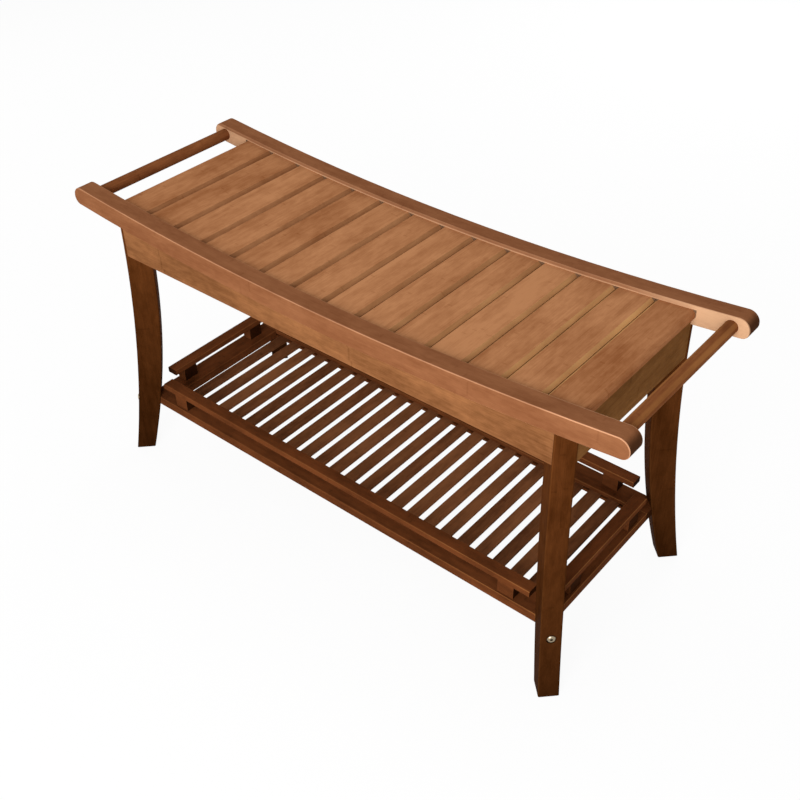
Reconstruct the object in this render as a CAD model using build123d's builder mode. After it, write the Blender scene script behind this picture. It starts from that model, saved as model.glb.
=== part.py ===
from build123d import *
import math
import os

# Spa bench: curved top rails, slatted seat, four sabre legs and a railed shelf.
# Millimetres. X runs along the bench, Y from front (minus) to rear, Z up.
# The origin is on the floor under the middle of the seat.

# Overall sizes
length = 990.6
depth = 330.2
height = 482.6

# Curved top rails, highest where their noses begin
rail_width = 30
rail_height = 30
rail_sag = 25.5
rail_top_nose = 16
rail_bottom_nose = 12
rail_edge = 2

# Towel bars between the rail ends
bar_diameter = 19
bar_inset = 25.4
bar_socket = 12
bar_end_gap = 0.3
bar_fit = 0.1
bar_chamfer = 1

# Seat slats, let into grooves along the rails, which run on past the seat
seat_setback = 75.3
seat_slat_count = 14
seat_slat_thickness = 12
seat_slat_gap = 1.2
seat_slat_bevel = 5
seat_drop = 6
seat_tongue = 8
seat_tongue_gap = 0.5
seat_groove_gap = 0.4

# Aprons under the rails and under the end slats
apron_thickness = 19
apron_drop = 92
apron_reveal = 6.6
end_apron_reveal = 5
tenon_thickness = 8
tenon_height = 24
tenon_reach = 8
tenon_rise = 10
tenon_gap = 0.2

# Legs, turned 45 degrees to the rails
leg_width = 30
leg_top_depth = 38.9
leg_corner_setback = 11.6
leg_outer_kick = 43.6
leg_inner_kick = 51
leg_outer_drop = 42.6
leg_inner_drop = 102.6
leg_edge = 2
peg_diameter = 8
peg_height = 10
peg_inset = 7
peg_gap = 0.1
peg_end_gap = 0.5

# Corner braces behind the leg tops
brace_thickness = 18
brace_height = 34
brace_rise = 8

# Screws, one through each leg into the shelf and one through each brace into the leg
screw_diameter = 6
screw_length = 50
screw_head_diameter = 12
screw_head_height = 3
screw_head_edge = 1.2
screw_socket = 4
screw_socket_depth = 2
screw_hole_gap = 0.2
screw_pilot_gap = 0.05
screw_end_gap = 1
spot_diameter = 15
spot_depth = 1.2

# Shelf, set in from the aprons' faces all round
shelf_inset = 6.1
shelf_bottom = 94
shelf_rail_width = 36.5
shelf_rail_height = 15
shelf_rail_edge = 1.5
shelf_tenon_length = 12
shelf_tenon_width = 18
shelf_tenon_height = 5
shelf_slat_count = 23
shelf_slat_width = 20
shelf_slat_end_gap = 10.4
shelf_slat_thickness = 5
shelf_slat_drop = 6
shelf_slat_edge = 0.8
shelf_groove = 12
shelf_groove_gap = 0.4

# Gallery round the shelf
gallery_width = 20
gallery_height = 10.5
gallery_gap = 22.5
gallery_edge = 1.5
gallery_reveal = 2.5
gallery_end_setback = 34.9
gallery_side_setback = 40.5
block_length = 27
block_reveal = 1
front_block_setback = 26
side_block_setback = 19

# Places worked out from the sizes above
half_length = length / 2
half_depth = depth / 2
rail_inner = half_depth - rail_width
nose_x = half_length - rail_top_nose
rail_radius = (nose_x**2 + rail_sag**2) / (2 * rail_sag)
bar_x = half_length - bar_inset
seat_half = half_length - seat_setback
apron_outer = half_depth - apron_reveal
apron_inner = apron_outer - apron_thickness
apron_bottom = height - apron_drop
end_apron_outer = seat_half - end_apron_reveal
end_apron_inner = end_apron_outer - apron_thickness
tenon_bottom = apron_bottom + tenon_rise
tenon_y = apron_outer - apron_thickness / 2
end_tenon_x = end_apron_outer - apron_thickness / 2
brace_bottom = apron_bottom + brace_rise
brace_screw_z = brace_bottom + brace_height / 2

# A leg's centre plane runs through the corner of the aprons' faces, where x - y is leg_offset.
# Distances along it are measured outward, square to the leg's faces.
leg_offset = end_apron_outer - apron_outer
leg_side = leg_width / math.sqrt(2)
leg_outer_top = (end_apron_outer + apron_outer) / math.sqrt(2) - leg_corner_setback
leg_inner_top = leg_outer_top - leg_top_depth
leg_outer_foot = leg_outer_top + leg_outer_kick
leg_inner_foot = leg_inner_top + leg_inner_kick
leg_outer_start = height - leg_outer_drop
leg_inner_start = height - leg_inner_drop
brace_back = leg_inner_top - brace_thickness

# Shelf and gallery
shelf_half_length = end_apron_outer - shelf_inset
shelf_half_depth = apron_outer - shelf_inset
shelf_top = shelf_bottom + shelf_rail_height
shelf_slat_bottom = shelf_top - shelf_slat_drop - shelf_slat_thickness
shelf_screw_z = shelf_bottom + shelf_rail_height / 2
shelf_inner_x = shelf_half_length - shelf_rail_width
shelf_inner_y = shelf_half_depth - shelf_rail_width
shelf_screw_share = (leg_outer_start - shelf_screw_z) / leg_outer_start
shelf_screw_face = leg_outer_top + leg_outer_kick * shelf_screw_share**2 - spot_depth
gallery_bottom = shelf_top + gallery_gap
gallery_line_x = shelf_half_length - gallery_reveal - gallery_width / 2
gallery_line_y = shelf_half_depth - gallery_reveal - gallery_width / 2
gallery_half_length = shelf_half_length - gallery_end_setback
gallery_half_depth = shelf_half_depth - gallery_side_setback

# A cut that has to clear the whole bench reaches this far
reach = length + height


def curve_z(x, drop):
    """Height at x of the line that runs the given drop below the rails' top line."""
    return height - rail_sag - drop + rail_radius - math.sqrt(rail_radius**2 - x**2)


def curve_arc(half, drop):
    """That line as an arc from -half to +half."""
    end = curve_z(half, drop)
    return ThreePointArc((-half, end), (0, curve_z(0, drop)), (half, end))


def diagonal_x(s):
    """X of the point at diagonal distance s on a leg's centre plane."""
    return (s * math.sqrt(2) + leg_offset) / 2


def diagonal_y(s):
    """Y of the point at diagonal distance s on a leg's centre plane."""
    return (s * math.sqrt(2) - leg_offset) / 2


def sabre_curve(top, foot, start):
    """Parabola that leaves the vertical at (top, start) and reaches (foot, 0)."""
    return Bezier((top, start), (top, start / 2), (foot, 0))


# Planes of the rear right leg: its centre plane, and planes square to the diagonal
leg_plane = Plane(
    origin=(leg_offset / 2, -leg_offset / 2, 0), x_dir=(1, 1, 0), z_dir=(1, -1, 0)
)


def across_plane(s, z):
    """Plane square to the diagonal at distance s and height z, facing outward."""
    return Plane(origin=(diagonal_x(s), diagonal_y(s), z), x_dir=(-1, 1, 0), z_dir=(1, 1, 0))


os.makedirs("parts", exist_ok=True)


def write(part, name):
    """Label one finished piece and write it to its own file."""
    part.label = name
    export_step(part, f"parts/{name}.step")


def write_pair(part, names, about):
    """Write a piece and its mirror image."""
    write(part, names[0])
    with BuildPart() as other:
        mirror(part, about=about)
    write(other.part, names[1])


def write_four(part, stem):
    """Write a rear right corner piece and its three mirror images."""
    write_pair(part, (f"rear_right_{stem}", f"rear_left_{stem}"), Plane.YZ)
    with BuildPart() as front:
        mirror(part, about=Plane.XZ)
    write_pair(front.part, (f"front_right_{stem}", f"front_left_{stem}"), Plane.YZ)


# Space that the seat and the rails take above the legs and aprons
with BuildPart() as seat_space:
    with BuildSketch(Plane.XZ) as seat_space_sketch:
        with BuildLine() as seat_space_line:
            under_seat = curve_arc(half_length, seat_drop + seat_slat_thickness)
            Polyline(under_seat @ 1, (half_length, reach), (-half_length, reach), under_seat @ 0)
        make_face()
    extrude(amount=depth, both=True)

with BuildPart() as rail_space:
    with BuildSketch(Plane.XZ.offset(-rail_inner)) as rail_space_sketch:
        with BuildLine() as rail_space_line:
            under_rail = curve_arc(half_length, rail_height)
            Polyline(under_rail @ 1, (half_length, reach), (-half_length, reach), under_rail @ 0)
        make_face()
    extrude(amount=-depth)

# Space outward of the rear right leg's inner face
with BuildPart() as leg_space:
    with BuildSketch(leg_plane) as leg_space_sketch:
        with BuildLine() as leg_space_line:
            inner_face = sabre_curve(leg_inner_top, leg_inner_foot, leg_inner_start)
            Polyline(
                inner_face @ 0,
                (leg_inner_top, height),
                (reach, height),
                (reach, 0),
                inner_face @ 1,
            )
        make_face()
    extrude(amount=depth, both=True)

# Rear top rail, with its slat groove, bar sockets and peg holes
with BuildPart() as top_rail:
    with BuildSketch(Plane.XZ.offset(-rail_inner)) as rail_sketch:
        with BuildLine() as rail_line:
            rail_top = curve_arc(half_length, 0)
            rail_under = curve_arc(half_length, rail_height)
            Line(rail_top @ 0, rail_under @ 0)
            Line(rail_top @ 1, rail_under @ 1)
        make_face()
        fillet(rail_sketch.vertices().group_by(Axis.Y)[-1], rail_top_nose)
        fillet(rail_sketch.vertices().group_by(Axis.Y)[0], rail_bottom_nose)
    extrude(amount=-rail_width)
    fillet(top_rail.faces().sort_by(Axis.Y)[-1].edges(), rail_edge)
    fillet(top_rail.faces().sort_by(Axis.Y)[0].edges(), rail_edge)
    with BuildSketch(Plane.XZ.offset(-rail_inner)) as groove_sketch:
        with BuildLine() as groove_line:
            groove_half = seat_half + seat_groove_gap
            groove_top = curve_arc(groove_half, seat_drop)
            groove_under = curve_arc(groove_half, seat_drop + seat_slat_thickness)
            Line(groove_top @ 0, groove_under @ 0)
            Line(groove_top @ 1, groove_under @ 1)
        make_face()
    extrude(amount=-(seat_tongue + seat_tongue_gap), mode=Mode.SUBTRACT)
    with BuildSketch(Plane.XZ.offset(-rail_inner)) as socket_sketch:
        with Locations((bar_x, curve_z(bar_x, rail_height / 2)), (-bar_x, curve_z(bar_x, rail_height / 2))):
            Circle(bar_diameter / 2 + bar_fit)
    extrude(amount=-(bar_socket + bar_end_gap), mode=Mode.SUBTRACT)
    peg_y = rail_inner + peg_inset
    peg_x = leg_offset + peg_y
    peg_top = curve_z(peg_x, rail_height) + peg_height
    with BuildSketch(Plane.XY.offset(apron_bottom)) as peg_hole_sketch:
        with Locations((peg_x, peg_y), (-peg_x, peg_y)):
            Circle(peg_diameter / 2 + peg_gap)
    extrude(amount=peg_top + peg_end_gap - apron_bottom, mode=Mode.SUBTRACT)
write_pair(top_rail.part, ("rear_top_rail", "front_top_rail"), Plane.XZ)

# Right towel bar, with softened ends
with BuildPart() as towel_bar:
    bar_half = rail_inner + bar_socket
    with BuildSketch(Plane.XZ.offset(-bar_half)) as bar_sketch:
        with Locations((bar_x, curve_z(bar_x, rail_height / 2))):
            Circle(bar_diameter / 2)
    extrude(amount=2 * bar_half)
    chamfer(towel_bar.edges().filter_by(GeomType.CIRCLE), bar_chamfer)
write_pair(towel_bar.part, ("right_towel_bar", "left_towel_bar"), Plane.YZ)

# Seat slats, side by side along the curve, bevelled between the rails
slat_pitch = 2 * seat_half / seat_slat_count
for index in range(seat_slat_count):
    left = index * slat_pitch - seat_half + seat_slat_gap / 2
    right = left + slat_pitch - seat_slat_gap
    middle = (left + right) / 2
    with BuildPart() as seat_slat:
        with BuildSketch(Plane.XZ.offset(-(rail_inner + seat_tongue))) as slat_sketch:
            with BuildLine() as slat_line:
                tops = [(x, curve_z(x, seat_drop)) for x in (left, middle, right)]
                unders = [(x, z - seat_slat_thickness) for x, z in tops]
                ThreePointArc(*tops)
                ThreePointArc(*unders)
                Line(tops[0], unders[0])
                Line(tops[2], unders[2])
            make_face()
        extrude(amount=2 * (rail_inner + seat_tongue))
        with BuildSketch(Plane.XZ.offset(-rail_inner)) as bevel_sketch:
            for x, inward in ((left, seat_slat_bevel), (right, -seat_slat_bevel)):
                with BuildLine() as bevel_line:
                    bevel_start = (x, curve_z(x, seat_drop + seat_slat_bevel))
                    bevel_end = (x + inward, curve_z(x + inward, seat_drop))
                    clear_corner = (x - inward, curve_z(x, seat_drop - seat_slat_bevel))
                    Polyline(bevel_start, bevel_end, clear_corner, close=True)
                make_face()
        extrude(amount=2 * rail_inner, mode=Mode.SUBTRACT)
    write(seat_slat.part, f"seat_slat_{index + 1:02d}")

# Rear apron: ends mitred to the legs' sides, tenons into the legs, top under the rail
with BuildPart() as long_apron:
    mitre = leg_offset - leg_side
    with BuildSketch(Plane.XY.offset(apron_bottom)) as long_apron_sketch:
        with BuildLine() as long_apron_line:
            Polyline(
                (-(mitre + apron_inner), apron_inner),
                (mitre + apron_inner, apron_inner),
                (mitre + apron_outer, apron_outer),
                (-(mitre + apron_outer), apron_outer),
                close=True,
            )
        make_face()
    extrude(amount=height - apron_bottom)
    add(rail_space.part, mode=Mode.SUBTRACT)
    with BuildSketch(Plane.XY.offset(tenon_bottom)) as long_tenon_sketch:
        with Locations((0, tenon_y)):
            Rectangle(2 * (mitre + tenon_y + tenon_reach), tenon_thickness)
    extrude(amount=tenon_height)
write_pair(long_apron.part, ("rear_apron", "front_apron"), Plane.XZ)

# Right end apron: the same joints, top under the last slat
with BuildPart() as end_apron:
    end_mitre = leg_offset + leg_side
    with BuildSketch(Plane.XY.offset(apron_bottom)) as end_apron_sketch:
        with BuildLine() as end_apron_line:
            Polyline(
                (end_apron_inner, end_apron_inner - end_mitre),
                (end_apron_inner, end_mitre - end_apron_inner),
                (end_apron_outer, end_mitre - end_apron_outer),
                (end_apron_outer, end_apron_outer - end_mitre),
                close=True,
            )
        make_face()
    extrude(amount=height - apron_bottom)
    add(seat_space.part, mode=Mode.SUBTRACT)
    add(rail_space.part, mode=Mode.SUBTRACT)
    mirror(rail_space.part, about=Plane.XZ, mode=Mode.SUBTRACT)
    with BuildSketch(Plane.XY.offset(tenon_bottom)) as end_tenon_sketch:
        with Locations((end_tenon_x, 0)):
            Rectangle(tenon_thickness, 2 * (end_tenon_x - end_mitre + tenon_reach))
    extrude(amount=tenon_height)
write_pair(end_apron.part, ("right_apron", "left_apron"), Plane.YZ)

# Rear right leg: sabre profile, mortises, peg, screw holes
with BuildPart() as leg:
    with BuildSketch(leg_plane) as leg_sketch:
        with BuildLine() as leg_line:
            outer_face = sabre_curve(leg_outer_top, leg_outer_foot, leg_outer_start)
            inner_face = sabre_curve(leg_inner_top, leg_inner_foot, leg_inner_start)
            Polyline(
                outer_face @ 0,
                (leg_outer_top, height),
                (leg_inner_top, height),
                inner_face @ 0,
            )
            Line(inner_face @ 1, outer_face @ 1)
        make_face()
    extrude(amount=leg_width / 2, both=True)
    fillet(leg.edges().filter_by(GeomType.BEZIER), leg_edge)
    add(seat_space.part, mode=Mode.SUBTRACT)
    add(rail_space.part, mode=Mode.SUBTRACT)
    with BuildSketch(Plane.XY.offset(tenon_bottom - tenon_gap)) as mortise_sketch:
        with Locations((0, tenon_y)):
            Rectangle(2 * (mitre + tenon_y + tenon_reach + tenon_gap), tenon_thickness + 2 * tenon_gap)
        with Locations((end_tenon_x, 0)):
            Rectangle(
                tenon_thickness + 2 * tenon_gap,
                2 * (end_tenon_x - end_mitre + tenon_reach + tenon_gap),
            )
    extrude(amount=tenon_height + 2 * tenon_gap, mode=Mode.SUBTRACT)
    with BuildSketch(Plane.XY.offset(peg_top - 2 * peg_height)) as peg_sketch:
        with Locations((peg_x, peg_y)):
            Circle(peg_diameter / 2)
    extrude(amount=2 * peg_height)
    with BuildSketch(across_plane(shelf_screw_face, shelf_screw_z)) as spot_sketch:
        Circle(spot_diameter / 2)
    extrude(amount=leg_width, mode=Mode.SUBTRACT)
    with BuildSketch(across_plane(shelf_screw_face, shelf_screw_z)) as clearance_sketch:
        Circle(screw_diameter / 2 + screw_hole_gap)
    extrude(amount=-screw_length, mode=Mode.SUBTRACT)
    with BuildSketch(across_plane(brace_back, brace_screw_z)) as pilot_sketch:
        Circle(screw_diameter / 2 + screw_pilot_gap)
    extrude(amount=screw_length + screw_end_gap, mode=Mode.SUBTRACT)
write_four(leg.part, "leg")

# Corner braces: blocks across the corners, glued to the aprons and screwed to the legs
with BuildPart() as brace:
    with BuildSketch(Plane.XY.offset(brace_bottom)) as brace_sketch:
        with BuildLine() as brace_line:
            back_sum = brace_back * math.sqrt(2)
            Polyline(
                (back_sum - apron_inner, apron_inner),
                (end_apron_inner, apron_inner),
                (end_apron_inner, back_sum - end_apron_inner),
                close=True,
            )
        make_face()
    extrude(amount=brace_height)
    add(leg_space.part, mode=Mode.SUBTRACT)
    with BuildSketch(across_plane(brace_back, brace_screw_z)) as brace_hole_sketch:
        Circle(screw_diameter / 2 + screw_hole_gap)
    extrude(amount=2 * brace_thickness, mode=Mode.SUBTRACT)
with BuildPart() as corner_braces:
    add(brace.part)
    mirror(about=Plane.YZ)
    mirror(about=Plane.XZ)
write(corner_braces.part, "corner_braces")

# One screw, its head on the plane z = 0 and its shank below it
with BuildPart() as screw:
    Cylinder(
        screw_head_diameter / 2,
        screw_head_height,
        align=(Align.CENTER, Align.CENTER, Align.MIN),
    )
    chamfer(screw.edges().group_by(Axis.Z)[-1], screw_head_edge)
    with BuildSketch(Plane.XY.offset(screw_head_height)) as socket_hex:
        RegularPolygon(screw_socket / 2, 6, major_radius=False)
    extrude(amount=-screw_socket_depth, mode=Mode.SUBTRACT)
    Cylinder(screw_diameter / 2, screw_length, align=(Align.CENTER, Align.CENTER, Align.MAX))

# All eight screws, two at each corner
shelf_screw_plane = across_plane(shelf_screw_face, shelf_screw_z)
brace_screw_plane = Plane(
    origin=across_plane(brace_back, brace_screw_z).origin, x_dir=(1, -1, 0), z_dir=(-1, -1, 0)
)
with BuildPart() as leg_screws:
    with Locations(shelf_screw_plane, brace_screw_plane):
        add(screw.part)
    mirror(about=Plane.YZ)
    mirror(about=Plane.XZ)
write(leg_screws.part, "leg_screws")

# Path of the screw that enters the shelf's rear right corner
with BuildPart() as screw_path:
    with BuildSketch(shelf_screw_plane) as screw_path_sketch:
        Circle(screw_diameter / 2 + screw_pilot_gap)
    extrude(amount=-(screw_length + screw_end_gap))

# Rear shelf rail: corners shaped to the legs, groove for the slats, mortises, screw holes
with BuildPart() as shelf_rail:
    with BuildSketch(Plane.XY.offset(shelf_bottom)) as shelf_rail_sketch:
        with Locations((0, shelf_half_depth - shelf_rail_width / 2)):
            Rectangle(2 * shelf_half_length, shelf_rail_width)
    extrude(amount=shelf_rail_height)
    fillet(shelf_rail.edges().filter_by(Axis.X).group_by(Axis.Z)[-1], shelf_rail_edge)
    add(leg_space.part, mode=Mode.SUBTRACT)
    mirror(leg_space.part, about=Plane.YZ, mode=Mode.SUBTRACT)
    with BuildSketch(Plane.XY.offset(shelf_slat_bottom)) as shelf_groove_sketch:
        Rectangle(2 * shelf_inner_x, 2 * (shelf_inner_y + shelf_groove + shelf_groove_gap))
    extrude(amount=shelf_slat_thickness, mode=Mode.SUBTRACT)
    with BuildSketch(
        Plane.XY.offset(shelf_screw_z - shelf_tenon_height / 2 - tenon_gap)
    ) as shelf_mortise_sketch:
        with Locations((shelf_inner_x + shelf_rail_width / 2, 0), (-shelf_inner_x - shelf_rail_width / 2, 0)):
            Rectangle(
                shelf_tenon_width + 2 * tenon_gap,
                2 * (shelf_inner_y + shelf_tenon_length + tenon_gap),
            )
    extrude(amount=shelf_tenon_height + 2 * tenon_gap, mode=Mode.SUBTRACT)
    add(screw_path.part, mode=Mode.SUBTRACT)
    mirror(screw_path.part, about=Plane.YZ, mode=Mode.SUBTRACT)
write_pair(shelf_rail.part, ("rear_shelf_rail", "front_shelf_rail"), Plane.XZ)

# Right shelf rail, tenoned between the long ones
with BuildPart() as side_shelf_rail:
    with BuildSketch(Plane.XY.offset(shelf_bottom)) as side_shelf_rail_sketch:
        with Locations((shelf_half_length - shelf_rail_width / 2, 0)):
            Rectangle(shelf_rail_width, 2 * shelf_inner_y)
    extrude(amount=shelf_rail_height)
    fillet(side_shelf_rail.edges().filter_by(Axis.Y).group_by(Axis.Z)[-1], shelf_rail_edge)
    with BuildSketch(Plane.XY.offset(shelf_screw_z - shelf_tenon_height / 2)) as side_tenon_sketch:
        with Locations((shelf_inner_x + shelf_rail_width / 2, 0)):
            Rectangle(shelf_tenon_width, 2 * (shelf_inner_y + shelf_tenon_length))
    extrude(amount=shelf_tenon_height)
write_pair(side_shelf_rail.part, ("right_shelf_rail", "left_shelf_rail"), Plane.YZ)

# Shelf slats, their ends in the long rails' grooves
shelf_slat_last = shelf_inner_x - shelf_slat_end_gap - shelf_slat_width / 2
shelf_slat_pitch = 2 * shelf_slat_last / (shelf_slat_count - 1)
for index in range(shelf_slat_count):
    middle = index * shelf_slat_pitch - shelf_slat_last
    with BuildPart() as shelf_slat:
        with BuildSketch(Plane.XY.offset(shelf_slat_bottom)) as shelf_slat_sketch:
            with Locations((middle, 0)):
                Rectangle(shelf_slat_width, 2 * (shelf_inner_y + shelf_groove))
        extrude(amount=shelf_slat_thickness)
        fillet(shelf_slat.edges().filter_by(Axis.Y).group_by(Axis.Z)[-1], shelf_slat_edge)
    write(shelf_slat.part, f"shelf_slat_{index + 1:02d}")

# Rear gallery rail, stopping short of the legs
with BuildPart() as gallery_rail:
    with BuildSketch(Plane.XY.offset(gallery_bottom)) as gallery_sketch:
        with Locations((0, gallery_line_y)):
            Rectangle(2 * gallery_half_length, gallery_width)
    extrude(amount=gallery_height)
    fillet(gallery_rail.edges().filter_by(Axis.X), gallery_edge)
write_pair(gallery_rail.part, ("rear_gallery_rail", "front_gallery_rail"), Plane.XZ)

# Right gallery rail
with BuildPart() as side_gallery_rail:
    with BuildSketch(Plane.XY.offset(gallery_bottom)) as side_gallery_sketch:
        with Locations((gallery_line_x, 0)):
            Rectangle(gallery_width, 2 * gallery_half_depth)
    extrude(amount=gallery_height)
    fillet(side_gallery_rail.edges().filter_by(Axis.Y), gallery_edge)
write_pair(side_gallery_rail.part, ("right_gallery_rail", "left_gallery_rail"), Plane.YZ)

# Spacer blocks that carry the gallery rails, two under each
block_width = gallery_width - 2 * block_reveal
block_x = gallery_half_length - front_block_setback - block_length / 2
block_y = gallery_half_depth - side_block_setback - block_length / 2
with BuildPart() as spacer_blocks:
    with BuildSketch(Plane.XY.offset(shelf_top)) as block_sketch:
        with GridLocations(2 * block_x, 2 * gallery_line_y, 2, 2):
            Rectangle(block_length, block_width)
        with GridLocations(2 * gallery_line_x, 2 * block_y, 2, 2):
            Rectangle(block_width, block_length)
    extrude(amount=gallery_gap)
write(spacer_blocks.part, "spacer_blocks")
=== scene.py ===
import math

import bpy
from mathutils import Matrix, Vector


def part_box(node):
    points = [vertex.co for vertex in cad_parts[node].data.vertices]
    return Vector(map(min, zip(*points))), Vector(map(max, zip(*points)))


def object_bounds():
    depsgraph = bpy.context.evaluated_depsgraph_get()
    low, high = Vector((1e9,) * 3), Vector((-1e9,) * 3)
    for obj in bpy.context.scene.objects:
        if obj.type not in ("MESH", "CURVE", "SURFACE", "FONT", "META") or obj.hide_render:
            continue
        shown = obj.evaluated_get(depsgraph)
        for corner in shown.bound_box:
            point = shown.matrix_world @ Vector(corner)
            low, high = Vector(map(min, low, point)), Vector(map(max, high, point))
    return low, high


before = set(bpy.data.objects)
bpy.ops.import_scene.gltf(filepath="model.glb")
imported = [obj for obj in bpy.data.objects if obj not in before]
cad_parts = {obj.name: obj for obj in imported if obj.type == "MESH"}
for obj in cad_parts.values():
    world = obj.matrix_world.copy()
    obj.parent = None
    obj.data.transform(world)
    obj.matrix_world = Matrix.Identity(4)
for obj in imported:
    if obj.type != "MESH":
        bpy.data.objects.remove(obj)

bl_info = {
    "name": "Spa bench",
    "version": (1, 0, 0),
    "blender": (4, 5, 0),
    "location": "View3D > Sidebar > Spa bench",
    "description": "Dresses a spa bench of stained bamboo: rails, bars, seat, legs, shelf and screws",
    "category": "Object",
}

MM = 0.001
CAD_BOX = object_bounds()
LOW, HIGH = (Vector(corner) for corner in CAD_BOX)

# The photograph's frame is square and this many pixels wide
PHOTO_WIDTH = 800
FOCAL_PIXELS = 1098.1
SENSOR_WIDTH = 36.0

# Turns that bring a piece's grain to X, for boards along X, Y and Z and for those set at 45 degrees
QUARTER, EIGHTH = math.radians(90), math.radians(45)
ALONG_X = (0.0, 0.0, 0.0)
ALONG_Y = (0.0, 0.0, -QUARTER)
LEG_RIGHT = (QUARTER, EIGHTH, QUARTER)
LEG_LEFT = (QUARTER, -EIGHTH, QUARTER)
CORNER = (0.0, 0.0, EIGHTH)


def linear(hex_colour):
    """Linear RGB of an sRGB hex colour."""
    parts = (int(hex_colour[at:at + 2], 16) / 255 for at in (1, 3, 5))
    return tuple(v / 12.92 if v <= 0.04045 else ((v + 0.055) / 1.055) ** 2.4 for v in parts)


def nodes_named(*stems):
    """The CAD nodes whose names hold one of the given words, in order of name."""
    return [name for name in sorted(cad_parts) if any(stem in name for stem in stems)]


def between(name, axis):
    """Lowest and highest place of a CAD node along one axis, in metres."""
    low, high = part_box(name)
    return low[axis], high[axis]


SEAT_SLATS = nodes_named("seat_slat_")
SHELF_SLATS = nodes_named("shelf_slat_")
# The lot sets which slats of a row came out pale and which dark
SEAT_LOT = 1932
SHELF_LOT = 410
RAIL_INSIDE = between("rear_top_rail", 1)[0]
SEAT_END = between(SEAT_SLATS[-1], 0)[1]
# The seat's top at the middle of the bench, and how far it rises to its last slat
SEAT_TOP = between(SEAT_SLATS[len(SEAT_SLATS) // 2], 2)[1]
SEAT_RISE = between(SEAT_SLATS[-1], 2)[1] - SEAT_TOP


def row_of(names, lot):
    """Start and pitch of a row of slats along X, worked out from the frame, and the lot that they come from."""
    starts = sorted(between(name, 0)[0] for name in names)
    pitch = (starts[-1] - starts[0]) / (len(starts) - 1)
    low, high = between(names[0], 0)
    return starts[0] - (pitch - high + low) / 2, pitch, lot


def colour(name, hex_colour, about):
    """A colour property with its default."""
    return bpy.props.FloatVectorProperty(
        name=name, description=about, subtype="COLOR", size=3, min=0.0, max=1.0, default=linear(hex_colour)
    )


def length(name, metres, about):
    """A length property with its default."""
    return bpy.props.FloatProperty(name=name, description=about, unit="LENGTH", min=0.0, default=metres)


class BenchColours(bpy.types.PropertyGroup):
    """Stain colours of the bamboo, the painted highlights on its edges and inner faces, and the metal's colour"""

    rail_light: colour("Rail light", "#905e3e", "Pale strips of the top rails")
    rail_dark: colour("Rail dark", "#724328", "Dark strips of the top rails")
    apron_light: colour("Apron light", "#94623d", "Pale strips of the long aprons")
    apron_dark: colour("Apron dark", "#543017", "Dark strips of the long aprons")
    # The inner faces' pale tint is painted highlight of the light falling on them
    rail_inside_highlight: colour("Rail inside", "#cfa27d", "Inner faces of the top rails, which took less stain")
    seat_light: colour("Seat light", "#bb8258", "Pale strips of the seat slats")
    seat_dark: colour("Seat dark", "#8e5733", "Dark strips of the seat slats")
    bar_light: colour("Bar light", "#8b5531", "Pale strips of the towel bars")
    bar_dark: colour("Bar dark", "#5f3219", "Dark strips of the towel bars")
    end_light: colour("End apron light", "#875b32", "Pale strips of the end aprons")
    end_dark: colour("End apron dark", "#5e3a19", "Dark strips of the end aprons")
    leg_light: colour("Leg light", "#5d3316", "Pale strips of the legs")
    leg_dark: colour("Leg dark", "#381a05", "Dark strips of the legs")
    shelf_light: colour("Shelf light", "#7c4f31", "Pale strips of the shelf slats")
    shelf_dark: colour("Shelf dark", "#502e1a", "Dark strips of the shelf slats")
    gallery_light: colour("Gallery light", "#68391d", "Pale strips of the shelf rails and gallery")
    gallery_dark: colour("Gallery dark", "#3e200f", "Dark strips of the shelf rails and gallery")
    # The pale edge colours are part sanded wear and part painted highlight along the edges
    pale_wear_and_highlight: colour("Worn pale", "#dba079", "Sanded edges of the rails and aprons")
    seat_wear_and_highlight: colour("Worn seat", "#d3a168", "Sanded edges of the seat slats")
    deep_wear_and_highlight: colour("Worn deep", "#a8713f", "Sanded edges of the legs, shelf and gallery")
    steel: colour("Steel", "#a4957c", "Screw heads of zinc plated steel")
    floor: colour("Floor", "#f8f8f8", "Studio floor")


class BenchSizes(bpy.types.PropertyGroup):
    """Real sizes of the bamboo's pattern"""

    strip_width: length("Strip width", 7 * MM, "Width of one glued strip of bamboo")
    fibre_width: length("Fibre width", 1.1 * MM, "Width of one fibre streak, drawn coarser than the real 0.3 mm")
    fibre_length: length("Fibre length", 70 * MM, "Length of one fibre streak")
    fibre_depth: length("Fibre depth", 0.08 * MM, "Depth of the brushed fibre relief")
    knuckle_spacing: length("Knuckle spacing", 380 * MM, "Distance between two knuckles of one strip")
    knuckle_width: length("Knuckle width", 2.4 * MM, "Width of the dark line at a knuckle")
    cloud_size: length("Cloud size", 110 * MM, "Length of the stain's soft clouds along the grain")
    blotch_size: length("Blotch size", 18 * MM, "Length of the stain's small blotches along the grain")


def add_node(tree, kind, inputs=None, out=0, **settings):
    """Add a node with its settings, values and links, and return one of its outputs."""
    node = tree.nodes.new("ShaderNode" + kind)
    for key, value in settings.items():
        setattr(node, key, value)
    for key, value in (inputs or {}).items():
        if isinstance(value, bpy.types.NodeSocket):
            tree.links.new(value, node.inputs[key])
        else:
            node.inputs[key].default_value = value
    return node.outputs[out] if node.outputs else node


def new_tree(name):
    """A new material, and its node tree, emptied."""
    material = bpy.data.materials.new(name)
    material.use_nodes = True
    material.node_tree.nodes.clear()
    return material, material.node_tree


def streaks(tree, place, long, wide, detail):
    """Noise drawn out along the grain, from 0 to 1."""
    stretch = {0: place, 1: (1 / long, 1 / wide, 1 / wide)}
    scaled = add_node(tree, "VectorMath", stretch, operation="MULTIPLY")
    noise = add_node(tree, "TexNoise", {"Vector": scaled, "Scale": 1.0, "Detail": detail, "Roughness": 0.6})
    return add_node(tree, "MapRange", {0: noise, 1: 0.3, 2: 0.7}, interpolation_type="SMOOTHSTEP")


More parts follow.
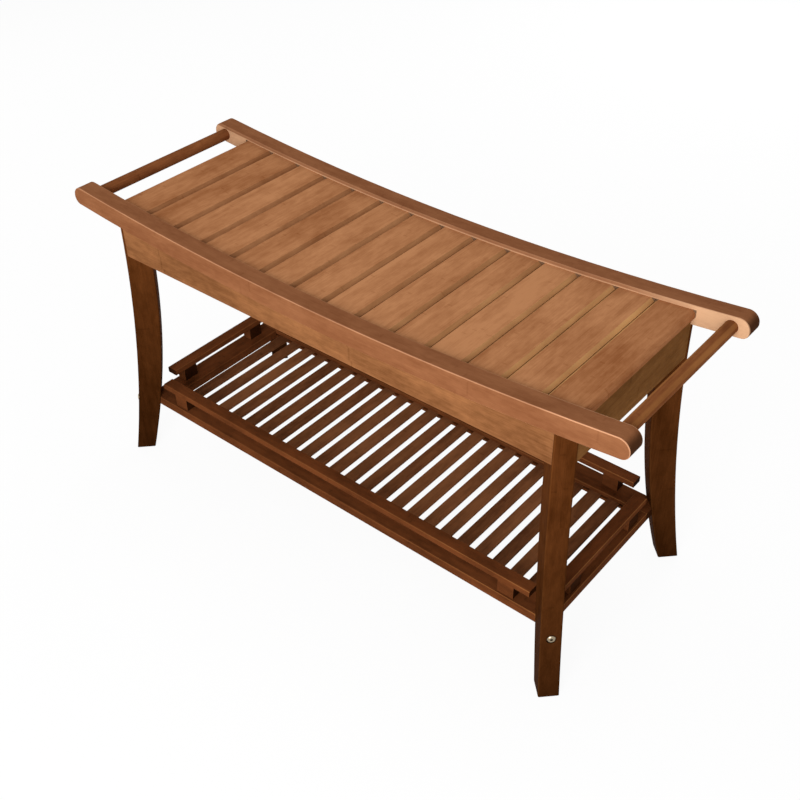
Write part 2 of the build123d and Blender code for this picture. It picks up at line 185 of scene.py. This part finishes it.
def strips(tree, place, sizes):
    """Tone of each glued strip, and a mask of the dark knuckle lines that cross it."""
    along, across, deep = add_node(tree, "SeparateXYZ", {0: place}).node.outputs
    column = add_node(tree, "Math", {0: across, 1: sizes.strip_width}, operation="DIVIDE")
    column = add_node(tree, "Math", {0: column}, operation="FLOOR")
    layer = add_node(tree, "Math", {0: deep, 1: 3 * sizes.strip_width}, operation="DIVIDE")
    layer = add_node(tree, "Math", {0: layer}, operation="FLOOR")
    strip = add_node(tree, "CombineXYZ", {"X": column, "Y": layer})
    tone = add_node(tree, "TexWhiteNoise", {"Vector": strip})
    phase = add_node(tree, "Math", {0: along, 1: 1 / sizes.knuckle_spacing, 2: tone}, operation="MULTIPLY_ADD")
    phase = add_node(tree, "Math", {0: phase, 1: 0.5}, operation="PINGPONG")
    line = {0: phase, 2: sizes.knuckle_width / sizes.knuckle_spacing, 3: 1.0, 4: 0.0}
    return tone, add_node(tree, "MapRange", line, interpolation_type="SMOOTHSTEP")


def turned_faces(tree, turn, across):
    """Masks of the rounded edges and of the end grain, by how a face is turned to the piece's own sides.

    A board with flat sides has an edge where no axis holds the whole normal. A board that is curved
    along its grain has one where the normal is between its flat faces and the plane of its curve.
    """
    normal = add_node(tree, "TexCoord", out="Normal")
    own = add_node(tree, "Mapping", {"Vector": normal, "Rotation": turn}, vector_type="NORMAL")
    size = add_node(tree, "VectorMath", {0: own}, operation="ABSOLUTE")
    parts = add_node(tree, "SeparateXYZ", {0: size}).node.outputs
    end_grain = add_node(tree, "MapRange", {0: parts[0], 1: 0.3, 2: 0.95}, interpolation_type="SMOOTHSTEP")
    if across is None:
        flat = add_node(tree, "Math", {0: parts[0], 1: parts[1]}, operation="MAXIMUM")
        flat = add_node(tree, "Math", {0: flat, 1: parts[2]}, operation="MAXIMUM")
        edge = {0: flat, 1: 0.86, 2: 0.96, 3: 1.0, 4: 0.0}
    else:
        lean = add_node(tree, "Math", {0: parts[across], 1: 0.5}, operation="SUBTRACT")
        lean = add_node(tree, "Math", {0: lean}, operation="ABSOLUTE")
        edge = {0: lean, 1: 0.22, 2: 0.42, 3: 1.0, 4: 0.0}
    return add_node(tree, "MapRange", edge, interpolation_type="SMOOTHSTEP"), end_grain


def stained_bamboo(name, light, dark, worn_and_lit, turn, across=None, wear_and_light_ends=(0.2, 0.6), row=None, inside_highlight=None, foot=None):
    """Bamboo strips glued into boards, stained, sanded and sealed with a satin lacquer.

    To the eye the strips differ a little in tone, fine fibres run along them, a strip is crossed by a
    dark knuckle here and there, end grain is darker because it drinks the stain, the stain is thin
    where edges were sanded, and the sheen is soft. The pale edges also carry a painted highlight that
    grows towards the right end, the inner faces of the rails a pale painted highlight, and the seat's
    bevels a painted shade.
    """
    sizes = bpy.context.scene.bench_sizes
    material, tree = new_tree(name)
    place = add_node(tree, "TexCoord", out="Object")
    x, y, z = add_node(tree, "SeparateXYZ", {0: place}).node.outputs
    grain = add_node(tree, "Mapping", {"Vector": place, "Rotation": turn})
    layers = {}
    # Edges go paler towards the right end: part wear, part painted highlight where more light falls on that end
    wear_and_light = add_node(tree, "MapRange", {0: x, 1: 0.8 * LOW.x, 2: 0.8 * HIGH.x})
    wear_and_light = add_node(tree, "Math", {0: wear_and_light, 1: 3.0}, operation="POWER")
    wear_and_light = add_node(tree, "MapRange", {0: wear_and_light, 3: wear_and_light_ends[0], 4: wear_and_light_ends[1]})

    # Each slat of a row is cut from its own board, so it has its own tone and its own strips
    if row:
        start, pitch, lot = row
        count = add_node(tree, "Math", {0: x, 1: start}, operation="SUBTRACT")
        count = add_node(tree, "Math", {0: count, 1: pitch}, operation="DIVIDE")
        number = add_node(tree, "Math", {0: count}, operation="FLOOR")
        number = add_node(tree, "Math", {0: number, 1: lot}, operation="ADD")
        slat = add_node(tree, "TexWhiteNoise", {"W": number}, noise_dimensions="1D")
        shift = add_node(tree, "CombineXYZ", {"X": slat, "Z": slat})
        grain = add_node(tree, "VectorMath", {0: grain, 1: shift}, operation="ADD")
        layers[slat] = 0.55

    strip, knuckle = strips(tree, grain, sizes)
    fibres = streaks(tree, grain, sizes.fibre_length, sizes.fibre_width, 2.0)
    blotches = streaks(tree, grain, sizes.blotch_size, sizes.blotch_size / 2.5, 3.0)
    clouds = streaks(tree, grain, sizes.cloud_size, sizes.cloud_size / 3, 2.0)
    layers.update({strip: 0.12, knuckle: -0.22, fibres: 0.22, blotches: 0.26, clouds: 0.42})

    # Level of the tone, where 0 is the dark stain and 1 is the light
    level = 0.5 - sum(layers.values()) / 2
    for layer, share in layers.items():
        level = add_node(tree, "Math", {0: layer, 1: share, 2: level}, operation="MULTIPLY_ADD")
    base = add_node(tree, "Mix", {0: level, 6: (*dark, 1.0), 7: (*light, 1.0)}, 2, data_type="RGBA")

    # Faces that turn to the middle of the bench get a pale tint, which is painted highlight of the light falling on
    # them
    if inside_highlight:
        tint, near, far = inside_highlight
        away = add_node(tree, "Math", {0: y}, operation="ABSOLUTE")
        inner = add_node(tree, "MapRange", {0: away, 1: near, 2: far}, interpolation_type="SMOOTHSTEP")
        outer = add_node(tree, "Math", {0: 1.0, 1: inner}, operation="SUBTRACT")
        wear_and_light = add_node(tree, "Math", {0: wear_and_light, 1: outer}, operation="MULTIPLY")
        # The painted highlight is strongest in a band just above the slats and near the right end
        part_way = add_node(tree, "Math", {0: x, 1: SEAT_END}, operation="DIVIDE")
        seat = add_node(tree, "Math", {0: part_way, 1: 2.0}, operation="POWER")
        seat = add_node(tree, "Math", {0: seat, 1: SEAT_RISE, 2: SEAT_TOP}, operation="MULTIPLY_ADD")
        height = add_node(tree, "Math", {0: z, 1: seat}, operation="SUBTRACT")
        beside = add_node(tree, "MapRange", {0: height, 1: 1.0 * MM, 2: 2.8 * MM, 3: 0.75, 4: 0.0})
        paler = add_node(tree, "MapRange", {0: part_way, 1: 0.75, 2: 1.0, 3: 0.15, 4: 1.0})
        paler = add_node(tree, "Math", {0: beside, 1: paler}, operation="MAXIMUM")
        patchy = add_node(tree, "Math", {0: level, 1: 0.3, 2: 0.75}, operation="MULTIPLY_ADD")
        patchy = add_node(tree, "Math", {0: patchy, 1: paler}, operation="MULTIPLY")
        inner = add_node(tree, "Math", {0: inner, 1: patchy}, operation="MULTIPLY")
        base = add_node(tree, "Mix", {0: inner, 6: base, 7: (*tint, 1.0)}, 2, data_type="RGBA")

    # The legs are darker towards the foot and a little lighter at the top
    if foot:
        shade = add_node(tree, "MapRange", {0: z, 1: LOW.z, 2: HIGH.z, 3: foot[0], 4: foot[1]})
        base = add_node(tree, "VectorMath", {0: base, "Scale": shade}, operation="SCALE")

    edges, end_grain = turned_faces(tree, turn, across)
    soaked = add_node(tree, "Math", {0: end_grain, 1: -0.72, 2: 1.0}, operation="MULTIPLY_ADD")
    base = add_node(tree, "VectorMath", {0: base, "Scale": soaked}, operation="SCALE")
    # The seat's bevels are painted darker, as painted shade in the grooves between the slats
    if row and inside_highlight:
        between_slats = add_node(tree, "Math", {0: x, 1: SEAT_END - 6 * MM}, operation="LESS_THAN")
        edges = add_node(tree, "Math", {0: edges, 1: between_slats}, operation="MULTIPLY")
        bevel_shade = add_node(tree, "Math", {0: edges, 1: -0.27, 2: 1.0}, operation="MULTIPLY_ADD")
        base = add_node(tree, "VectorMath", {0: base, "Scale": bevel_shade}, operation="SCALE")
    # Edges take the pale colour: part sanded wear, part painted highlight on the edges, growing towards the right end
    patchy = add_node(tree, "Math", {0: clouds, 1: 0.5, 2: 0.5}, operation="MULTIPLY_ADD")
    patchy = add_node(tree, "Math", {0: patchy, 1: wear_and_light}, operation="MULTIPLY")
    patchy = add_node(tree, "Math", {0: edges, 1: patchy}, operation="MULTIPLY")
    base = add_node(tree, "Mix", {0: patchy, 6: base, 7: (*worn_and_lit, 1.0)}, 2, data_type="RGBA")

    # A satin lacquer's IOR is near 1.5, and this one is lower to match the deep, unhazed colour
    satin = add_node(tree, "MapRange", {0: fibres, 3: 0.55, 4: 0.45})
    relief = {"Height": fibres, "Strength": 0.6, "Distance": sizes.fibre_depth}
    look = {
        "Base Color": base,
        "Roughness": add_node(tree, "Math", {0: edges, 1: 0.45, 2: satin}, operation="MULTIPLY_ADD"),
        "Normal": add_node(tree, "Bump", relief),
        "IOR": 1.02,
    }
    add_node(tree, "OutputMaterial", {"Surface": add_node(tree, "BsdfPrincipled", look)})
    return material


def zinc_steel(name, tint):
    """Zinc plated steel, turned and then plated: a bright grey metal with a fine satin grain."""
    material, tree = new_tree(name)
    place = add_node(tree, "TexCoord", out="Object")
    # The plating's grain of about 0.05 mm is drawn at 0.8 mm so that it shows
    grit = add_node(tree, "TexNoise", {"Vector": place, "Scale": 1 / (0.8 * MM), "Detail": 2.0})
    dull = tuple(0.7 * part for part in tint)
    plated = add_node(tree, "Mix", {0: grit, 6: (*dull, 1.0), 7: (*tint, 1.0)}, 2, data_type="RGBA")
    # The hex socket is painted dark where the depth of its walls keeps light out: painted shade
    depth = add_node(tree, "AmbientOcclusion", {"Distance": 2.5 * MM}, 1, only_local=True)
    socket_shade = add_node(tree, "MapRange", {0: depth, 1: 0.45, 2: 0.85, 3: 0.12, 4: 1.0})
    look = {
        "Base Color": add_node(tree, "VectorMath", {0: plated, "Scale": socket_shade}, operation="SCALE"),
        "Roughness": add_node(tree, "MapRange", {0: grit, 1: 0.3, 2: 0.7, 3: 0.26, 4: 0.42}),
        "Normal": add_node(tree, "Bump", {"Height": grit, "Strength": 0.2, "Distance": 0.02 * MM}),
        "Metallic": 1.0,
    }
    add_node(tree, "OutputMaterial", {"Surface": add_node(tree, "BsdfPrincipled", look)})
    return material


def dress(names, material):
    """Give CAD nodes their material."""
    for name in names:
        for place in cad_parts[name].material_slots:
            place.material = material


class BENCH_OT_top_rails(bpy.types.Operator):
    """Finish the two curved top rails"""

    bl_idname = "bench.top_rails"
    bl_label = "Top rails"

    def execute(self, context):
        tints = context.scene.bench_colours
        # The inner faces take a pale tint as painted highlight
        inside_highlight = (tints.rail_inside_highlight, RAIL_INSIDE + 2.5 * MM, RAIL_INSIDE + 0.3 * MM)
        rails = (tints.rail_light, tints.rail_dark, tints.pale_wear_and_highlight, ALONG_X)
        dress(nodes_named("top_rail"), stained_bamboo("stained bamboo rails", *rails, across=1, wear_and_light_ends=(0.55, 1.0), inside_highlight=inside_highlight))
        return {"FINISHED"}


class BENCH_OT_towel_bars(bpy.types.Operator):
    """Finish the two towel bars"""

    bl_idname = "bench.towel_bars"
    bl_label = "Towel bars"

    def execute(self, context):
        tints = context.scene.bench_colours
        bars = (tints.bar_light, tints.bar_dark, tints.deep_wear_and_highlight, ALONG_Y)
        dress(nodes_named("towel_bar"), stained_bamboo("stained bamboo bars", *bars, wear_and_light_ends=(0.0, 0.5)))
        return {"FINISHED"}


class BENCH_OT_seat(bpy.types.Operator):
    """Finish the seat slats"""

    bl_idname = "bench.seat"
    bl_label = "Seat slats"

    def execute(self, context):
        tints = context.scene.bench_colours
        slats = (tints.seat_light, tints.seat_dark, tints.seat_wear_and_highlight, ALONG_Y)
        # The slats' ends inside the rail take the same pale tint, painted highlight
        tongues = (tints.rail_inside_highlight, RAIL_INSIDE - 0.3 * MM, RAIL_INSIDE)
        row = row_of(SEAT_SLATS, SEAT_LOT)
        dress(SEAT_SLATS, stained_bamboo("stained bamboo seat", *slats, wear_and_light_ends=(0.0, 1.0), row=row, inside_highlight=tongues))
        return {"FINISHED"}


class BENCH_OT_aprons(bpy.types.Operator):
    """Finish the long aprons and the end aprons"""

    bl_idname = "bench.aprons"
    bl_label = "Aprons"

    def execute(self, context):
        tints = context.scene.bench_colours
        long_ones = (tints.apron_light, tints.apron_dark, tints.pale_wear_and_highlight, ALONG_X)
        dress(("front_apron", "rear_apron"), stained_bamboo("stained bamboo aprons", *long_ones, wear_and_light_ends=(0.1, 0.5)))
        end_ones = (tints.end_light, tints.end_dark, tints.deep_wear_and_highlight, ALONG_Y)
        dress(("left_apron", "right_apron"), stained_bamboo("stained bamboo end aprons", *end_ones, wear_and_light_ends=(0.1, 0.4)))
        return {"FINISHED"}


class BENCH_OT_legs(bpy.types.Operator):
    """Finish the four legs and the braces behind them"""

    bl_idname = "bench.legs"
    bl_label = "Legs"

    def execute(self, context):
        tints = context.scene.bench_colours
        stain = (tints.leg_light, tints.leg_dark, tints.deep_wear_and_highlight)
        foot = (0.36, 1.1)
        falling = stained_bamboo("stained bamboo legs falling", *stain, LEG_LEFT, across=2, wear_and_light_ends=(0.0, 0.05), foot=foot)
        dress(("front_left_leg", "rear_right_leg"), falling)
        rising = stained_bamboo("stained bamboo legs rising", *stain, LEG_RIGHT, across=2, wear_and_light_ends=(0.0, 0.05), foot=foot)
        dress(("front_right_leg", "rear_left_leg"), rising)
        dress(("corner_braces",), stained_bamboo("stained bamboo braces", *stain, CORNER))
        return {"FINISHED"}


class BENCH_OT_shelf(bpy.types.Operator):
    """Finish the shelf slats"""

    bl_idname = "bench.shelf"
    bl_label = "Shelf slats"

    def execute(self, context):
        tints = context.scene.bench_colours
        slats = (tints.shelf_light, tints.shelf_dark, tints.deep_wear_and_highlight, ALONG_Y)
        dress(SHELF_SLATS, stained_bamboo("stained bamboo shelf slats", *slats, wear_and_light_ends=(0.1, 0.4), row=row_of(SHELF_SLATS, SHELF_LOT)))
        return {"FINISHED"}


class BENCH_OT_gallery(bpy.types.Operator):
    """Finish the shelf rails, the gallery rails and their blocks"""

    bl_idname = "bench.gallery"
    bl_label = "Shelf rails and gallery"

    def execute(self, context):
        tints = context.scene.bench_colours
        stain = (tints.gallery_light, tints.gallery_dark, tints.deep_wear_and_highlight)
        boards = nodes_named("shelf_rail", "gallery_rail")
        long_ones = stained_bamboo("stained bamboo gallery", *stain, ALONG_X, wear_and_light_ends=(0.15, 0.5))
        dress([name for name in boards if name.startswith(("front", "rear"))] + ["spacer_blocks"], long_ones)
        side_ones = stained_bamboo("stained bamboo gallery ends", *stain, ALONG_Y, wear_and_light_ends=(0.15, 0.5))
        dress([name for name in boards if name.startswith(("left", "right"))], side_ones)
        return {"FINISHED"}


class BENCH_OT_screws(bpy.types.Operator):
    """Finish the screws through the legs"""

    bl_idname = "bench.screws"
    bl_label = "Leg screws"

    def execute(self, context):
        dress(("leg_screws",), zinc_steel("zinc plated steel", context.scene.bench_colours.steel))
        return {"FINISHED"}


def soft_light(name, place, target, size, watts):
    """A square studio light that faces a point."""
    data = bpy.data.lights.new(name, "AREA")
    data.shape = "SQUARE"
    data.size = size
    data.energy = watts
    lamp = bpy.data.objects.new(name, data)
    bpy.context.scene.collection.objects.link(lamp)
    lamp.location = place
    lamp.visible_camera = False
    lamp.rotation_euler = (Vector(target) - Vector(place)).to_track_quat("-Z", "Y").to_euler()


def seen_directly(tree):
    """1 on rays from the camera, a reflection or a pane, which see the background as plain white."""
    paths = add_node(tree, "LightPath").node.outputs
    seen = {0: paths["Is Camera Ray"], 1: paths["Is Glossy Ray"]}
    seen = add_node(tree, "Math", seen, operation="MAXIMUM")
    return add_node(tree, "Math", {0: seen, 1: paths["Is Transmission Ray"]}, operation="MAXIMUM")


class BENCH_OT_stage(bpy.types.Operator):
    """Set up the floor, the studio light and the camera"""

    bl_idname = "bench.stage"
    bl_label = "Stage"

    camera_azimuth: bpy.props.FloatProperty(
        name="Camera azimuth",
        description="Direction of view from +Y",
        subtype="ANGLE",
        default=math.radians(-40.04),
    )
    camera_elevation: bpy.props.FloatProperty(
        name="Camera elevation",
        description="Angle of view below level",
        subtype="ANGLE",
        default=math.radians(38.32),
    )
    camera_roll: bpy.props.FloatProperty(
        name="Camera roll",
        description="Turn about the line of view",
        subtype="ANGLE",
        default=math.radians(-0.98),
    )
    camera_place: bpy.props.FloatVectorProperty(
        name="Camera place",
        description="Where the camera stands",
        subtype="TRANSLATION",
        unit="LENGTH",
        default=(0.8903, -1.0304, 1.2744),
    )

    def execute(self, context):
        scene = context.scene
        self.build_floor(scene.bench_colours.floor)
        self.build_world(scene)
        middle = (LOW + HIGH) / 2
        soft_light("key light", (0.9, -2.6, 1.35), middle, 1.6, 80)
        soft_light("side light", (-2.2, 0.5, 1.4), middle, 1.6, 9)
        soft_light("back light", (-0.4, 2.6, 1.3), middle, 1.6, 22)
        soft_light("top light", (0.05, 0.0, 1.45), middle, 1.0, 1)
        self.build_camera(scene)
        scene.view_settings.view_transform = "Standard"
        return {"FINISHED"}

    def build_floor(self, tint):
        """White studio paper: a matt white that bounces light up and shows the shadow faintly."""
        reach = 12.0
        mesh = bpy.data.meshes.new("floor")
        corners = [(-reach, -reach, 0), (reach, -reach, 0), (reach, reach, 0), (-reach, reach, 0)]
        mesh.from_pydata(corners, [], [(0, 1, 2, 3)])
        floor = bpy.data.objects.new("floor", mesh)
        bpy.context.scene.collection.objects.link(floor)
        floor.location.z = LOW.z - 0.2 * MM
        material, tree = new_tree("white studio paper")
        share = add_node(tree, "Math", {0: seen_directly(tree), 1: 0.93}, operation="MULTIPLY")
        paper = add_node(tree, "BsdfDiffuse", {"Color": (*tint, 1.0)})
        glow = add_node(tree, "Emission", {"Strength": 1.0})
        both = add_node(tree, "MixShader", {0: share, 1: paper, 2: glow})
        add_node(tree, "OutputMaterial", {"Surface": both})
        mesh.materials.append(material)

    def build_world(self, scene):
        """Even white light from all round, and plain white where it is seen."""
        world = bpy.data.worlds.new("studio")
        scene.world = world
        world.use_nodes = True
        tree = world.node_tree
        tree.nodes.clear()
        strength = add_node(tree, "MapRange", {0: seen_directly(tree), 3: 0.45, 4: 1.0})
        sky = add_node(tree, "Background", {"Color": (1.0, 1.0, 1.0, 1.0), "Strength": strength})
        add_node(tree, "OutputWorld", {"Surface": sky})

    def build_camera(self, scene):
        az, el, roll = self.camera_azimuth, self.camera_elevation, self.camera_roll
        forward = Vector((math.cos(el) * math.sin(az), math.cos(el) * math.cos(az), -math.sin(el)))
        level_right = Vector((math.cos(az), -math.sin(az), 0.0))
        level_up = level_right.cross(forward)
        right = math.cos(roll) * level_right + math.sin(roll) * level_up
        up = math.cos(roll) * level_up - math.sin(roll) * level_right
        data = bpy.data.cameras.new("camera")
        data.sensor_width = SENSOR_WIDTH
        data.lens = SENSOR_WIDTH * FOCAL_PIXELS / PHOTO_WIDTH
        data.clip_end = 50.0
        camera = bpy.data.objects.new("camera", data)
        scene.collection.objects.link(camera)
        turn = Matrix((right, up, -forward)).transposed().to_4x4()
        camera.matrix_world = Matrix.Translation(self.camera_place) @ turn
        scene.camera = camera


PIECES = (
    BENCH_OT_top_rails,
    BENCH_OT_towel_bars,
    BENCH_OT_seat,
    BENCH_OT_aprons,
    BENCH_OT_legs,
    BENCH_OT_shelf,
    BENCH_OT_gallery,
    BENCH_OT_screws,
    BENCH_OT_stage,
)


class BENCH_PT_panel(bpy.types.Panel):
    """Lists the bench's pieces"""

    bl_idname = "BENCH_PT_panel"
    bl_label = "Spa bench"
    bl_space_type = "VIEW_3D"
    bl_region_type = "UI"
    bl_category = "Spa bench"

    def draw(self, context):
        for piece in PIECES:
            self.layout.operator(piece.bl_idname)
        for group in (context.scene.bench_sizes, context.scene.bench_colours):
            for key in group.__annotations__:
                self.layout.prop(group, key)


CLASSES = (BenchColours, BenchSizes, *PIECES, BENCH_PT_panel)


def register():
    for cls in CLASSES:
        bpy.utils.register_class(cls)
    bpy.types.Scene.bench_colours = bpy.props.PointerProperty(type=BenchColours)
    bpy.types.Scene.bench_sizes = bpy.props.PointerProperty(type=BenchSizes)


def unregister():
    del bpy.types.Scene.bench_sizes
    del bpy.types.Scene.bench_colours
    for cls in reversed(CLASSES):
        bpy.utils.unregister_class(cls)


def main():
    register()
    for piece in PIECES:
        group, call = piece.bl_idname.split(".")
        getattr(getattr(bpy.ops, group), call)()


if __name__ == "__main__":
    main()
